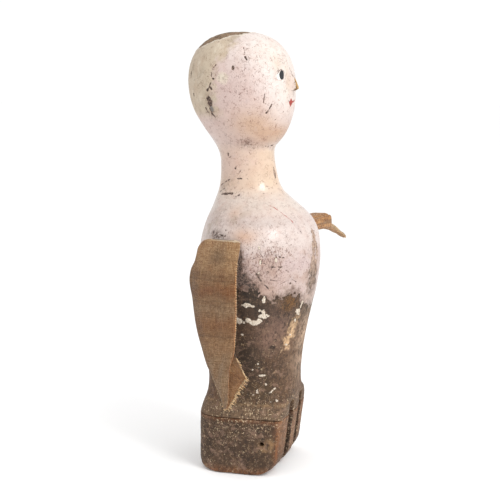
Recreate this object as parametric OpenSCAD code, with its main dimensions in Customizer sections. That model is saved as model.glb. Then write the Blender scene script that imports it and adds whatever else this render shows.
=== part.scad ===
// Carved and turned wooden mannequin doll: head and neck, torso, hip block with two
// leg slots, and two stiff linen sleeves that swing from the shoulders.
// Origin at the middle of the base, +Z up, the face looks along -Y, +X is the figure's left.

/* [Head] */
// Height of the whole figure
figure_h = 400; // [396:1:406]
// Greatest width of the head
head_w = 91; // [86:1:95]
// Greatest front-to-back depth of the head
head_d = 99; // [95:1:102]
// Turn of the face towards the figure's right, in degrees
face_turn = 7; // [0:1:10]
// Length of the nose wedge from bridge to underside
nose_len = 18; // [15:1:21]
// How far the nose stands out of the face
nose_out = 6; // [4:0.5:7]

/* [Torso] */
// Width across the shoulders
shoulder_w = 123; // [117:1:127]
// Width at the waist
waist_w = 89; // [84:1:94]
// Width of the hip block
hip_w = 99; // [95:1:103]
// Height of the hip block
hip_h = 52; // [48:1:54]
// Forward lean of the block's front face, from base to top
hip_front_rake = 7; // [4:0.5:9]

/* [Leg slots] */
// Width of each leg slot
slot_w = 13; // [10:1:15]
// Thickness of the wall between the slots
mid_wall = 20; // [17:1:23]
// Height of the slots on the front face
slot_h = 64; // [60:1:67]
// Diameter of the hole for the leg pin
pin_d = 4; // [3:0.2:5]
// Height of the pin hole above the base
pin_z = 30; // [26:0.5:34]

/* [Sleeves] */
// Length of a sleeve from its fold line to the fold of its torn end
sleeve_len = 98; // [93:1:101]
// Length of the torn end below that fold
tail_len = 43; // [38:1:47]
// Thickness of the tacked top edge of the cloth
cloth_t = 1.6; // [1.2:0.1:2]
// How far the raised left sleeve reaches out before its torn end
left_reach = 86; // [81:1:91]
// Sweep of the raised left sleeve towards the front, in degrees
left_sweep = 27; // [20:1:30]
// Lift of the raised left sleeve above level, in degrees
left_lift = 3; // [0:1:8]

/* [Joinery] */
// Diameter of the neck dowel
neck_dowel_d = 20; // [16:1:24]
// Length of the neck dowel
neck_dowel_l = 64; // [50:1:70]
// Diameter of the two hip dowels
hip_dowel_d = 10; // [8:1:12]
// Length of the hip dowels
hip_dowel_l = 44; // [36:1:50]
// Diameter of a tack's head
tack_head_d = 5; // [4:0.5:6]

/* [Hidden] */

sides = 48;              // points round a section
neck_z = 255;            // joint between neck and torso
head_z = 352;            // height of the head's widest ring
head_y = 12.6;             // how far the head sits behind the torso's axis
dome = 2.4;              // fullness of the crown, 2 is a true ellipse
crown_lean = 1.2;        // how far the crown's top leans to the back
glue = 0.05;             // glue gap round a dowel
hinge_z = 209;           // fold line of both sleeves
hinge_x = shoulder_w / 2 + 3;
sleeve_y = 10;           // middle of the sleeves' fold lines
band_top = 217;          // upper edge of the tacked cloth
pin_y = -20;
slot_back = -2;          // depth reached by the leg slots
hip_front = 40.8;
hip_back = 46.5;
front_bow = 0.075;       // how much the hips' front falls back towards its corners
front_r = 17;            // rounding of the block's lower front edge
back_r = 9;              // and of its lower back edge
chin_z = 296;

gesso = [0.87, 0.78, 0.72];
skin_worn = [0.72, 0.60, 0.54];
bare_wood = [0.36, 0.28, 0.22];
new_wood = [0.72, 0.56, 0.38];
linen = [0.58, 0.46, 0.34];
iron = [0.25, 0.23, 0.22];

// Sections from the base of the torso to the crown:
// height, half width, reach to the front, reach to the back, squareness of front and of back
sections = [
    [hip_h,      hip_w / 2,            hip_front, hip_back, 16,  3.6],
    [hip_h + 5,  hip_w / 2 - 1.6,      41.0,      45.7,     13,  3.3],
    [64,         waist_w / 2 + 2,      41.4,      43.8,     8,   2.9],
    [70,         waist_w / 2 + 0.6,    42.0,      42.3,     3.6, 2.6],
    [77,         waist_w / 2 + 0.3,    42.5,      41.9,     2.5, 2.4],
    [88,         waist_w / 2 + 0.3,    43.1,      42.9,     2.2, 2.2],
    [105,        waist_w / 2 + 1.2,    44.8,      45.4,     2.1, 2.1],
    [128,        waist_w / 2 + 3.5,    48.7,      48.0,     2.1, 2.1],
    [151,        shoulder_w / 2 - 9.5, 53.9,      50.5,     2.0, 2.0],
    [173,        shoulder_w / 2 - 4.8, 58.7,      51.7,     2.0, 2.0],
    [195,        shoulder_w / 2 - 1,   60.7,      51.4,     2.0, 2.0],
    [209,        shoulder_w / 2,       60.2,      49.7,     2.0, 2.0],
    [219,        shoulder_w / 2 - 2,   58.7,      47.4,     2.0, 2.0],
    [230,        shoulder_w / 2 - 8,   54.0,      44.1,     2.0, 2.0],
    [241,        shoulder_w / 2 - 20,  44.1,      39.4,     2.0, 2.0],
    [249,        32,                   34.7,      36.8,     2.0, 2.0],
    [neck_z,     27,                   27.7,      34.6,     2.0, 2.0],
    [263,        24.1,                 22.9,      32.6,     2.0, 2.0],
    [276,        23.1,                 19.8,      32.0,     2.0, 2.0],
    [288,        23,                   17.8,      32.5,     2.0, 2.0],
    [chin_z,     24.5,                 18.2,      35.4,     2.0, 2.0],
    [301,        28.4,                 23.1,      38.5,     2.1, 2.0],
    [308,        32.7,                 28.2,      43.5,     2.1, 2.0],
    [318,        head_w / 2 - 7.3,     32.6,      50.2,     2.1, 2.0],
    [329,        head_w / 2 - 3,       35.7,      56.6,     2.1, 2.0],
    [341,        head_w / 2 - 0.8,     head_d / 2 - head_y + 0.2, 60.5, 2.1, 2.0],
    [head_z,     head_w / 2,           head_d / 2 - head_y, head_d / 2 + head_y, 2.1, 2.0]
];

// ---- curves ----
function slope(rows, i, col) =
    let (a = max(i - 1, 0), b = min(i + 1, len(rows) - 1))
    (rows[b][col] - rows[a][col]) / (rows[b][0] - rows[a][0]);

// Cubic curve through one column of a table, at height t
function curve(rows, t, col) =
    let (i = max([for (k = [0 : len(rows) - 2]) if (k == 0 || rows[k][0] <= t) k]),
         h = rows[i + 1][0] - rows[i][0],
         u = (t - rows[i][0]) / h,
         p0 = rows[i][col], p1 = rows[i + 1][col],
         m0 = slope(rows, i, col) * h, m1 = slope(rows, i + 1, col) * h)
    (2 * u^3 - 3 * u^2 + 1) * p0 + (u^3 - 2 * u^2 + u) * m0
    + (3 * u^2 - 2 * u^3) * p1 + (u^3 - u^2) * m1;

// How much of the head's widest ring is left at height z above it
function crown(z) = (1 - ((z - head_z) / (figure_h - head_z))^dome)^(1 / dome);

// Half width, middle, half depth, the two squareness values and the bow of the front,
// at height z
function section(z) =
    z > head_z
    ? [head_w / 2 * crown(z), head_y + crown_lean * (z - head_z) / (figure_h - head_z),
       head_d / 2 * crown(z), 2.1, 2.0, 0]
    : let (f = curve(sections, z, 2), b = curve(sections, z, 3))
      [curve(sections, z, 1), (b - f) / 2, (b + f) / 2,
       curve(sections, z, 4), curve(sections, z, 5),
       front_bow * min(1, max(0, (79 - z) / (79 - hip_h)))];

// Point of section s at bearing t and height z, moved outwards by out
function outline(s, z, t, out = 0) =
    let (n = sin(t) < 0 ? s[3] : s[4],
         x = sign(cos(t)) * abs(cos(t))^(2 / n),
         y = sign(sin(t)) * abs(sin(t))^(2 / n) * (sin(t) < 0 ? 1 - s[5] * x^2 : 1))
    [(s[0] + out) * x, s[1] + (s[2] + out) * y, z];

function skin_point(z, t, out = 0) = outline(section(z), z, t, out);

function ring(z) = [for (k = [0 : sides - 1]) skin_point(z, k * 360 / sides)];

// ---- solids from rings ----
// Closed solid through a list of rings, each with the same number of points
module loft(rings) {
    n = len(rings[0]);
    last = len(rings) - 1;
    walls = [for (i = [0 : last - 1], k = [0 : n - 1], half = [0, 1])
        let (a = i * n + k, b = i * n + (k + 1) % n, c = b + n, d = a + n)
        half == 0 ? [a, d, c] : [a, c, b]];
    low = [for (k = [0 : n - 1]) k];
    high = [for (k = [n - 1 : -1 : 0]) last * n + k];
    polyhedron([for (r = rings) each r], concat(walls, [low, high]));
}

// Solid from the lower height to the upper one, with a ring every step or so
module body_between(low, high, step) {
    count = ceil((high - low) / step);
    loft([for (i = [0 : count]) ring(low + (high - low) * i / count)]);
}

// ---- head ----
// Rings of the crown close in on its top point
function crown_heights() =
    [for (i = [1 : 11]) head_z + (figure_h - head_z) * sin(90 * i / 11.35)];

module head_form() {
    count = 26;
    lower = [for (i = [0 : count]) ring(neck_z + (head_z - neck_z) * i / count)];
    loft(concat(lower, [for (z = crown_heights()) ring(z)]));
}

// The nose is a wedge let into the face: side view, front view and plan meet in it
module nose_form() {
    depth = head_d / 2;
    tip = head_z - 3.5;
    top = tip + nose_len - 4;
    root = 4.6;
    translate([0, head_y, 0]) rotate([0, 0, -face_turn]) intersection() {
        rotate([90, 0, 90]) linear_extrude(4 * root, center = true) polygon([
            [4 - depth, tip - 4], [4 - depth, top], [-depth - 0.4, top - 1],
            [-depth - nose_out, tip + 1], [-depth - nose_out, tip - 0.5]]);
        rotate([90, 0, 0]) linear_extrude(4 * depth, center = true) polygon([
            [-root, tip - 4], [root, tip - 4], [root / 2.6, top], [-root / 2.6, top]]);
        translate([0, 0, tip - 4]) linear_extrude(nose_len) polygon([
            [-root, 4 - depth], [root, 4 - depth],
            [root / 3, -depth - nose_out], [-root / 3, -depth - nose_out]]);
    }
}

module nose() color(new_wood) nose_form();

module neck_bore(gap) {
    translate([0, 4, neck_z - neck_dowel_l / 2])
        cylinder(d = neck_dowel_d + 2 * gap, h = neck_dowel_l, $fn = 48);
}

module head() color(gesso) difference() {
    head_form();
    nose_form();
    neck_bore(glue);
}

module neck_dowel() color(new_wood) neck_bore(0);

// ---- torso ----
module hip_dowel_bores(gap) {
    for (side = [-1, 1])
        translate([side * 20, 20, hip_h - hip_dowel_l / 2])
            cylinder(d = hip_dowel_d + 2 * gap, h = hip_dowel_l, $fn = 32);
}

module leg_slots() {
    for (side = [-1, 1])
        translate([side * (mid_wall + slot_w) / 2 - slot_w / 2, slot_back - 100, -10])
            cube([slot_w, 100, slot_h + 10]);
}

module torso() color(skin_worn) difference() {
    body_between(hip_h, neck_z, 5);
    leg_slots();
    hip_dowel_bores(glue);
    neck_bore(glue);
}

// ---- hip block ----
// How far a rounded lower edge of radius r falls back at height z
function round_off(z, r) = z < r ? r - sqrt(r^2 - (r - z)^2) : 0;

// Ring of the block: raked front, rounded lower front and back edges
function block_ring(z) =
    let (s = section(hip_h),
         f = hip_front - hip_front_rake * (hip_h - z) / hip_h - round_off(z, front_r),
         b = hip_back - round_off(z, back_r))
    [for (k = [0 : sides - 1])
        outline([s[0], (b - f) / 2, (b + f) / 2, s[3], s[4], s[5]], z, k * 360 / sides)];

module hip_block() color(bare_wood) difference() {
    loft([for (i = [0 : 7]) block_ring(front_r * (1 - cos(90 * i / 7))),
          for (z = [27, 38, hip_h]) block_ring(z)]);
    leg_slots();
    hip_dowel_bores(glue);
    translate([-hip_w, pin_y, pin_z]) rotate([0, 90, 0])
        cylinder(d = pin_d, h = 2 * hip_w, $fn = 32);
}

module hip_dowels() color(new_wood) hip_dowel_bores(0);

// ---- sleeves ----
// Bearing range on the shoulder that the tacked edge covers, for the figure's left side
band_from = -4;
band_to = 38;

module sleeve_band(side) {
    steps = 8;
    heights = [hinge_z + 1, (hinge_z + band_top + 1) / 2, band_top];
    function bearing(k) = side > 0 ? band_from + (band_to - band_from) * k / steps
                                   : 180 - band_from - (band_to - band_from) * k / steps;
    function across(k) = [for (z = heights) skin_point(z, bearing(k), 0.35),
                          for (i = [2 : -1 : 0]) skin_point(heights[i], bearing(k), 0.35 + cloth_t)];
    rings = [for (k = [0 : steps]) across(k)];
    loft(side > 0 ? rings : [for (k = [steps : -1 : 0]) rings[k]]);
}

module sleeve_tacks(side) {
    tack_z = (hinge_z + 1 + band_top) / 2;
    for (t = [4, 17, 30]) {
        bearing = side > 0 ? t : 180 - t;
        root = skin_point(tack_z, bearing, 0.35 + cloth_t + 0.05);
        aim = atan2(sin(bearing) / section(tack_z)[2], cos(bearing) / section(tack_z)[0]);
        translate(root) rotate([0, 0, aim]) rotate([0, 90, 0]) {
            cylinder(d = tack_head_d, h = 0.8, $fn = 24);
            translate([0, 0, -9]) cylinder(d = 1.3, h = 9.4, $fn = 16);
        }
    }
}

// Cross-section of a flattened tube: 20 points, ends rounded
function oval(half_w, half_t) =
    [for (k = [0 : 19]) let (t = k * 18)
        [half_w * sign(cos(t)) * abs(cos(t))^0.8, half_t * sign(sin(t)) * abs(sin(t))^0.8]];

// Right sleeve, hanging: distance below the fold, offset to the back, half width,
// half thickness, offset outwards
right_rows = [
    [2,              5.2,  18.6, 1.6, 0],
    [12,             8.8,  20.2, 2.2, 0.4],
    [27,             11,   22.0, 3.0, 0.9],
    [45,             10.4, 21.6, 3.2, 1.2],
    [62,             9.2,  20.2, 3.2, 1.0],
    [80,             7.6,  17.4, 3.0, 0.6],
    [sleeve_len - 2, 5.6,  14.4, 2.4, 0.2]
];
right_tail_rows = [
    [sleeve_len + 2,        0.6,  14.6, 2.2, 0.2],
    [sleeve_len + 15,       -3.4, 15.6, 2.6, 0.6],
    [sleeve_len + 24,       -2,   11.8, 2.4, 0.6],
    [sleeve_len + 33,       -0.8, 6,    2.0, 0.4],
    [sleeve_len + tail_len, -1,   2.2,  1.4, 0]
];

// Left sleeve, held out: distance along it, offset to the back of its swept middle line,
// half width, half thickness, offset upwards
left_rows = [
    [2,              5.2,  18.6, 1.6, 0],
    [14,             6,    18.4, 3.0, -0.2],
    [32,             7,    17.4, 4.8, -0.6],
    [52,             7,    15.6, 6.6, -0.8],
    [70,             6.4,  13.4, 8.0, -0.6],
    [left_reach - 2, 5.4,  11.4, 8.8, -0.4]
];
left_tail_rows = [
    [left_reach + 2,        5.4, 10.2, 6.4, -4],
    [left_reach + 11,       4.6, 6.6,  4.2, -8],
    [left_reach + 22,       4.4, 3.8,  2.6, -14],
    [left_reach + tail_len - 4, 6, 2.4,  1.8, -24]
];

module cloth(rows, steps, sweep = 0) {
    first = rows[0][0];
    last = rows[len(rows) - 1][0];
    loft([for (i = [0 : steps])
        let (u = first + (last - first) * i / steps,
             c = curve(rows, u, 1) - u * tan(sweep), e = curve(rows, u, 4))
        [for (p = oval(curve(rows, u, 2), curve(rows, u, 3))) [p[1] + e, p[0] + c, -u]]]);
}

// Moves cloth drawn hanging from the origin to the right shoulder
module at_right() translate([-hinge_x, sleeve_y, hinge_z]) mirror([1, 0, 0]) children();

// Turns it out level at the left shoulder
module at_left() translate([hinge_x, sleeve_y, hinge_z]) rotate([0, -90 - left_lift, 0])
    children();

module right_sleeve_band() color(linen) sleeve_band(-1);
module left_sleeve_band() color(linen) sleeve_band(1);
module right_sleeve_tacks() color(iron) sleeve_tacks(-1);
module left_sleeve_tacks() color(iron) sleeve_tacks(1);
module right_sleeve_upper() color(linen) at_right() cloth(right_rows, 18);
module right_sleeve_tail() color(linen) at_right() cloth(right_tail_rows, 10);
module left_sleeve_upper() color(linen) at_left() cloth(left_rows, 18, left_sweep);
module left_sleeve_tail() color(linen) at_left() cloth(left_tail_rows, 10, left_sweep);

head();
nose();
neck_dowel();
torso();
hip_block();
hip_dowels();
right_sleeve_band();
right_sleeve_tacks();
right_sleeve_upper();
right_sleeve_tail();
left_sleeve_band();
left_sleeve_tacks();
left_sleeve_upper();
left_sleeve_tail();
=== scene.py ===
import math

import bpy
import numpy as np
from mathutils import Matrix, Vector
from mathutils.bvhtree import BVHTree


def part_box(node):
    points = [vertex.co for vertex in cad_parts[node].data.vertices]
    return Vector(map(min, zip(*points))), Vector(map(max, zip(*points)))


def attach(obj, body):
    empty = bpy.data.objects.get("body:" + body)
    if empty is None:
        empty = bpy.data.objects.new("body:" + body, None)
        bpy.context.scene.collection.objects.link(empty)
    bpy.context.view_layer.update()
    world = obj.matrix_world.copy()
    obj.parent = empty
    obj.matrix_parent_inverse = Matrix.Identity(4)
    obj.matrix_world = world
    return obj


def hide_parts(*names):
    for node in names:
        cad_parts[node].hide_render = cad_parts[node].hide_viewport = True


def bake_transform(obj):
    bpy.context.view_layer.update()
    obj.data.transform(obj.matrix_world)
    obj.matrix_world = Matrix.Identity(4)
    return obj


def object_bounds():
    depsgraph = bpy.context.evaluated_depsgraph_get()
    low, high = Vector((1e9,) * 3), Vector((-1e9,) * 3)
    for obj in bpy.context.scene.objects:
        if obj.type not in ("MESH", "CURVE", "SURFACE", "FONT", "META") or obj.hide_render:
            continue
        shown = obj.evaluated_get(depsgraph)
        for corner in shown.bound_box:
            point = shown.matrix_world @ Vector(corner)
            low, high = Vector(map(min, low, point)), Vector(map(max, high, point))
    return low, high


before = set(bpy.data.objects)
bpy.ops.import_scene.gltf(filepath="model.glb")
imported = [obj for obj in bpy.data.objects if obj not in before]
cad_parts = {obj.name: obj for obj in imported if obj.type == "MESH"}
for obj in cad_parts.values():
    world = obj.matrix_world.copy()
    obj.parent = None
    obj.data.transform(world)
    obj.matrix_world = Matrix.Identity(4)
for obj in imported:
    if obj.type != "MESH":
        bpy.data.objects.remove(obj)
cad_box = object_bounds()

MM = 0.001
ABSENT = -9.0                 # what a field holds, in mm, where its mark is nowhere near
THREAD_PITCH = 0.00105        # from one thread of the linen to the next, in metres
THREAD_WANDER = 0.0011
HEAD_FROM = 0.255             # the head's skin starts here, at the foot of the neck, in metres
TOP_OF_BLOCK = 52             # in mm
HIP_SEAM = 65.5               # dark seam round the torso's ledge, in mm
LOW, HIGH = (np.array(c, float) for c in cad_box)
rng = np.random.default_rng(7)


# ---------------------------------------------------------------- numbers and noise
def srgb(r, g, b):
    c = np.array([r, g, b], float) / 255
    return np.where(c <= 0.04045, c / 12.92, ((c + 0.055) / 1.055) ** 2.4)


def ease(x, low, high):
    t = np.clip((x - low) / (high - low), 0, 1)
    return t * t * (3 - 2 * t)


def noise(p, size, seed=0, octaves=3, stretch=(1, 1, 1)):
    """Smooth noise from about -1 to 1 at points p; its largest lumps are size millimetres across."""
    total, reach = np.zeros(len(p)), 0.0
    for o in range(octaves):
        q = p / (np.array(stretch) * size * MM) * 2 ** o + 31.7 * seed + 5.3 * o
        cell = np.floor(q).astype(np.int64)
        f = q - cell
        f = f * f * (3 - 2 * f)
        value = np.zeros(len(p))
        for dx in (0, 1):
            for dy in (0, 1):
                for dz in (0, 1):
                    h = ((cell[:, 0] + dx) * 374761393 + (cell[:, 1] + dy) * 668265263
                         + (cell[:, 2] + dz) * 1274126177 + seed * 97) & 0xFFFFFFFF
                    h = ((h ^ (h >> 13)) * 1274126177) & 0xFFFFFFFF
                    h = (h ^ (h >> 16)) / 2 ** 31 - 1
                    value += h * (f[:, 0] if dx else 1 - f[:, 0]) * (f[:, 1] if dy else 1 - f[:, 1]) \
                        * (f[:, 2] if dz else 1 - f[:, 2])
        total += value * 0.5 ** o
        reach += 0.5 ** o
    return total / reach * 1.6


def coat(base, *layers):
    """The colours base, with layers over them: each an sRGB colour and how much of it shows, 0 to 1."""
    for colour, amount in layers:
        a = np.clip(amount, 0, 1)[..., None]
        base = base * (1 - a) + srgb(*colour) * a
    return base


# ---------------------------------------------------------------- meshes as arrays
def voxel_skin(names, size):
    """One closed skin round several CAD nodes, as points and quads."""
    co, faces = [], []
    for name in names:
        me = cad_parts[name].data
        start = sum(len(c) for c in co)
        co.append(np.array([v.co for v in me.vertices], float))
        faces += [[start + i for i in p.vertices] for p in me.polygons]
    me = bpy.data.meshes.new("joined")
    me.from_pydata(np.concatenate(co), [], faces)
    ob = bpy.data.objects.new("joined", me)
    bpy.context.scene.collection.objects.link(ob)
    weld = ob.modifiers.new("weld", "WELD")
    weld.merge_threshold = 1e-5
    remesh = ob.modifiers.new("remesh", "REMESH")
    remesh.mode, remesh.voxel_size, remesh.adaptivity = "VOXEL", size * MM, 0
    done = ob.evaluated_get(bpy.context.evaluated_depsgraph_get()).to_mesh()
    points = np.zeros(len(done.vertices) * 3)
    done.vertices.foreach_get("co", points)
    quads = np.zeros(len(done.loops), int)
    done.loops.foreach_get("vertex_index", quads)
    bpy.data.objects.remove(ob)
    bpy.data.meshes.remove(me)
    return points.reshape(-1, 3), quads.reshape(-1, 4)


def relax(co, quads, rounds, weight):
    edges = np.sort(np.concatenate([quads[:, [k, (k + 1) % 4]] for k in range(4)]), axis=1)
    a, b = np.unique(edges, axis=0).T
    n = len(co)
    degree = np.bincount(a, minlength=n) + np.bincount(b, minlength=n)
    for _ in range(rounds):
        mean = np.stack([np.bincount(a, co[b, k], n) + np.bincount(b, co[a, k], n) for k in range(3)], 1)
        co = co + 0.5 * weight[:, None] * (mean / degree[:, None] - co)
    return co


def vertex_normals(co, quads):
    p = co[quads]
    f = np.cross(p[:, 2] - p[:, 0], p[:, 3] - p[:, 1])
    n = np.stack([sum(np.bincount(quads[:, c], f[:, k], len(co)) for c in range(4)) for k in range(3)], 1)
    return n / np.maximum(np.linalg.norm(n, axis=1), 1e-12)[:, None]


def rims(quads):
    """Closed loops of the open edges, in the order that a face filling them needs."""
    half = np.concatenate([quads[:, [k, (k + 1) % 4]] for k in range(4)])
    key = half[:, 0] * 10 ** 9 + half[:, 1]
    lone = half[~np.isin(key, half[:, 1] * 10 ** 9 + half[:, 0])]
    after, loops = {int(b): int(a) for a, b in lone}, []
    while after:
        first = next(iter(after))
        loop, at = [first], after.pop(first)
        while at != first and at in after:
            loop.append(at)
            at = after.pop(at)
        if len(loop) > 2:
            loops.append(loop)
    return loops


def piece(name, co, faces, normals=None, fields=None, colours=None, uv=None, material=None):
    me = bpy.data.meshes.new(name)
    me.from_pydata(co, [], faces)
    for key, values in (fields or {}).items():
        me.attributes.new(key, "FLOAT", "POINT").data.foreach_set("value", values.astype(np.float32))
    for key, values in (colours or {}).items():
        rgba = np.concatenate([values, np.ones((len(values), 1))], 1).astype(np.float32)
        me.attributes.new(key, "FLOAT_COLOR", "POINT").data.foreach_set("color", rgba.ravel())
    if uv is not None:
        layer = me.uv_layers.new(name="cloth")
        loops = np.zeros(len(me.loops), int)
        me.loops.foreach_get("vertex_index", loops)
        layer.data.foreach_set("uv", uv[loops].astype(np.float32).ravel())
    me.polygons.foreach_set("use_smooth", [True] * len(me.polygons))
    me.update()
    if normals is not None:
        me.normals_split_custom_set_from_vertices(normals)
    if material is not None:
        me.materials.append(material)
    ob = bpy.data.objects.new(name, me)
    bpy.context.scene.collection.objects.link(ob)
    return ob


# ---------------------------------------------------------------- material nodes
class Tree:
    """Short names for the nodes of one material."""

    def __init__(self, name):
        self.material = bpy.data.materials.new(name)
        self.material.use_nodes = True
        self.t = self.material.node_tree
        self.shader = next(n for n in self.t.nodes if n.type == "BSDF_PRINCIPLED")

    def put(self, socket, value):
        if isinstance(value, bpy.types.NodeSocket):
            self.t.links.new(value, socket)
        elif hasattr(socket.default_value, "__len__") and not hasattr(value, "__len__"):
            socket.default_value = [value] * len(socket.default_value)
        elif hasattr(value, "__len__"):
            value = list(value)
            socket.default_value = value + [1.0] if len(value) < len(socket.default_value) else value
        else:
            socket.default_value = value

    def node(self, kind, inputs=None, **settings):
        n = self.t.nodes.new("ShaderNode" + kind)
        for k, v in settings.items():
            setattr(n, k, v)
        for k, v in (inputs or {}).items():
            self.put(n.inputs[k], v)
        return n

    def math(self, op, a, b=0.0, c=None):
        n = self.node("Math", operation=op)
        for k, v in enumerate((a, b) if c is None else (a, b, c)):
            self.put(n.inputs[k], v)
        return n.outputs[0]

    def times(self, a, b):
        return self.math("MULTIPLY", a, b)

    def minus(self, a, b):
        return self.math("SUBTRACT", a, b)

    def scaled(self, x, by, plus):
        return self.math("MULTIPLY_ADD", x, by, plus)

    def ramp(self, x, low, high, to_low=0.0, to_high=1.0):
        n = self.node("MapRange", interpolation_type="SMOOTHSTEP")
        for k, v in enumerate((x, low, high, to_low, to_high)):
            self.put(n.inputs[k], v)
        return n.outputs[0]

    def mix(self, amount, a, b, blend="MIX"):
        n = self.node("Mix", data_type="RGBA", blend_type=blend)
        for k, v in ((0, amount), (6, a), (7, b)):
            self.put(n.inputs[k], v)
        return n.outputs[2]

    def tinted(self, colour, by):
        return self.mix(1.0, colour, by, "MULTIPLY")

    def attr(self, name, colour=False):
        n = self.node("Attribute", attribute_name=name)
        return n.outputs["Color" if colour else "Fac"]

    def place(self, stretch=(1, 1, 1), source="Object"):
        coord = self.node("TexCoord").outputs[source]
        return self.node("Mapping", {"Vector": coord, "Scale": stretch}).outputs[0]

    def noise(self, scale, detail=4.0, stretch=(1, 1, 1), rough=0.55, source="Object"):
        return self.node("TexNoise", {"Vector": self.place(stretch, source), "Scale": scale,
                                      "Detail": detail, "Roughness": rough}).outputs["Fac"]

    def cracks(self, scale, stretch=(1, 1, 1)):
        return self.node("TexVoronoi", {"Vector": self.place(stretch), "Scale": scale},
                         feature="DISTANCE_TO_EDGE").outputs["Distance"]

    def finish(self, **inputs):
        for k, v in inputs.items():
            self.put(self.shader.inputs[k.replace("_", " ")], v)
        return self.material

    def bump(self, height, distance, strength=1.0, normal=None):
        n = self.node("Bump", {"Height": height, "Distance": distance, "Strength": strength})
        if normal is not None:
            self.put(n.inputs["Normal"], normal)
        return n.outputs[0]


def old_paint(name):
    """Cracked glossy oil paint over a chalk ground over old wood. Where each shows comes from the
    mesh's own fields, in millimetres, which finer noise breaks up into ragged edges."""
    t = Tree(name)
    fine = t.noise(900, 3)
    ragged = t.minus(t.noise(420, 4), 0.5)
    streak = t.noise(760, 4, (1, 1, 0.55), 0.6)
    # where the paint still holds, where the chalk ground shows, and where dark marks show: cuts through the
    # paint, and painted shadows in the jaw crease and beside the right sleeve
    holds = t.ramp(t.scaled(ragged, 4.2, t.attr("paint")), -0.2, 0.25)
    chalk = t.ramp(t.scaled(ragged, 2.2, t.attr("chalk")), -0.15, 0.2)
    marks = t.ramp(t.scaled(ragged, 1.3, t.attr("mark")), -0.15, 0.2)
    grime = t.attr("grime")
    specks = t.attr("speck")
    # paint: its own tint, mottled, with fine speckle and a net of cracks
    paint = t.attr("tint", True)
    blotch = t.noise(70, 5, rough=0.65)
    paint = t.mix(t.ramp(blotch, 0.42, 0.7, 0, 0.16), paint, srgb(228, 190, 168), "MULTIPLY")
    paint = t.mix(t.ramp(t.noise(190, 4), 0.45, 0.75, 0, 0.18), paint, srgb(205, 178, 170), "MULTIPLY")
    net = t.cracks(460, (1, 1, 0.8))
    net = t.ramp(net, 0.02, 0.09, 1, 0)
    net = t.times(net, t.ramp(t.noise(240, 5, rough=0.7), 0.48, 0.62, 0.0, 0.62))
    paint = t.mix(net, paint, srgb(150, 118, 104), "MULTIPLY")
    limit = t.scaled(specks, -0.17, 0.75)
    dots = t.ramp(t.minus(streak, limit), 0.0, 0.05)
    dust = t.minus(t.noise(1500, 3, (1, 1, 0.6), 0.7), t.scaled(specks, -0.075, 0.63))
    paint = t.mix(t.ramp(dust, 0.0, 0.07, 0, 0.42), paint, srgb(140, 108, 96))
    light = t.minus(t.noise(700, 4, rough=0.7), 0.62)
    paint = t.mix(t.ramp(light, 0.0, 0.08, 0, 0.5), paint, t.tinted(paint, (1.12, 1.13, 1.12)))
    paint = t.mix(t.times(dots, 0.66), paint, srgb(104, 76, 68))
    flecks = t.ramp(t.minus(t.noise(520, 2), t.scaled(specks, -0.1, 0.74)), 0, 0.03)
    paint = t.mix(t.times(flecks, 0.7), paint, srgb(120, 88, 74))
    # dirt lies in streaks on the paint; the same field also carries painted shade in the crease under the jaw
    soil_and_shade = t.times(grime, t.ramp(t.noise(520, 5, (1, 1, 0.7), 0.75), 0.36, 0.6))
    paint = t.mix(t.times(soil_and_shade, 0.92), paint, srgb(84, 58, 42))
    scratch = t.ramp(t.cracks(150, (1.5, 1.5, 0.7)), 0.0, 0.03, 1, 0)
    scratch = t.times(scratch, t.ramp(t.noise(130, 4, rough=0.7), 0.5, 0.66, 0.0, 0.7))
    paint = t.mix(t.times(scratch, t.ramp(specks, 0.3, 1.2)), paint, srgb(112, 82, 72))
    # bare wood: its own tint, which holds painted shade deep in the leg slots, with grain, darker pores and a
    # few pale flecks
    wood = t.attr("ground", True)
    grain = t.noise(300, 5, (1, 1, 0.16), 0.7)
    wood = t.mix(0.5, wood, t.mix(t.ramp(grain, 0.3, 0.72), srgb(140, 130, 120), srgb(255, 252, 250)),
                 "MULTIPLY")
    wood = t.mix(t.ramp(t.noise(360, 6, (1, 1, 0.7), 0.8), 0.46, 0.62, 0, 0.8), wood, srgb(46, 32, 22))
    wood = t.mix(t.ramp(t.noise(110, 5, (1, 1, 1.6), 0.72), 0.5, 0.68, 0, 0.6), wood, srgb(142, 112, 94))
    wood = t.mix(t.ramp(t.noise(330, 5, (1, 1, 2.2), 0.75), 0.56, 0.7, 0, 0.8), wood, srgb(150, 120, 90))
    pale = t.minus(t.noise(520, 4, rough=0.72), t.scaled(specks, -0.1, 0.7))
    wood = t.mix(t.ramp(pale, 0, 0.04, 0, 0.9), wood, srgb(206, 182, 148))
    hair = t.ramp(t.cracks(210, (1.4, 1.4, 0.9)), 0.0, 0.03, 1, 0)
    where = t.scaled(specks, 0.07, t.noise(170, 4, rough=0.7))
    hair = t.times(hair, t.ramp(where, 0.55, 0.68, 0.0, 0.8))
    wood = t.mix(hair, wood, srgb(180, 150, 116))
    wood = t.mix(t.times(grime, t.ramp(fine, 0.3, 0.6, 0.35, 0.9)), wood, srgb(26, 20, 16))
    ground = t.mix(chalk, wood, t.mix(t.ramp(fine, 0.35, 0.7), srgb(176, 158, 138), srgb(228, 218, 202)))
    # a dark rim where the paint breaks off
    edge = t.times(t.ramp(t.scaled(ragged, 4.2, t.attr("paint")), -1.3, -0.1),
                  t.minus(1.0, chalk))
    ground = t.mix(t.times(edge, 0.22), ground, srgb(40, 30, 25))
    colour = t.mix(holds, ground, paint)
    colour = t.mix(marks, colour, t.mix(t.ramp(fine, 0.4, 0.62), srgb(58, 46, 41), srgb(124, 102, 90)))
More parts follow.
